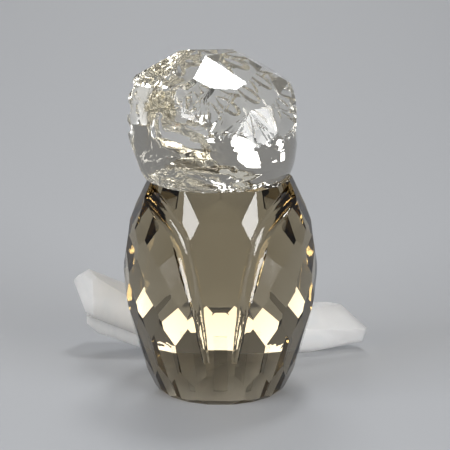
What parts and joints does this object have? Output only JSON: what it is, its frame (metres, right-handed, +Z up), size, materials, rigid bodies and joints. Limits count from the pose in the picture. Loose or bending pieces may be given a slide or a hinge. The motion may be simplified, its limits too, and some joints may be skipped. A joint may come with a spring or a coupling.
{
  "type": "crystal bird figurine",
  "caption": "Cut-crystal owl: clear faceted head turned to one side, smoky gold faceted body with two wing grooves, frosted crystal branch in front, on a flat base.",
  "frame": {"origin": "centre of the body's flat base, on the ground", "axes": "+Z up, the bird's breast faces -Y, +X is the bird's left, where the head is turned and the rising end of the branch is"},
  "size_m": [0.0488, 0.0371, 0.0556],
  "materials": {
    "tinted_crystal": "polished flat facets, smoky gold tint through the body",
    "clear_crystal": "polished, colourless",
    "frosted_crystal": "satin frosted, translucent white",
    "clear_adhesive": "cured clear adhesive film",
    "dark_stone": "polished near-black dome",
    "amber_stone": "polished amber facets",
    "plated_metal": "bright plated casting"
  },
  "bodies": {
    "root": {"body_crystal": "tinted_crystal", "head_crystal": "clear_crystal", "branch_log": "frosted_crystal", "branch_stub": "frosted_crystal", "neck_bond": "clear_adhesive", "branch_bond": "clear_adhesive", "stub_bond": "clear_adhesive", "eye_left_bond": "clear_adhesive", "eye_right_bond": "clear_adhesive", "beak_bond": "clear_adhesive", "foot_left_bond": "clear_adhesive", "foot_right_bond": "clear_adhesive", "eye_left": "dark_stone", "eye_right": "dark_stone", "beak": "amber_stone", "foot_left": "plated_metal", "foot_right": "plated_metal"}
  },
  "joints": []
}
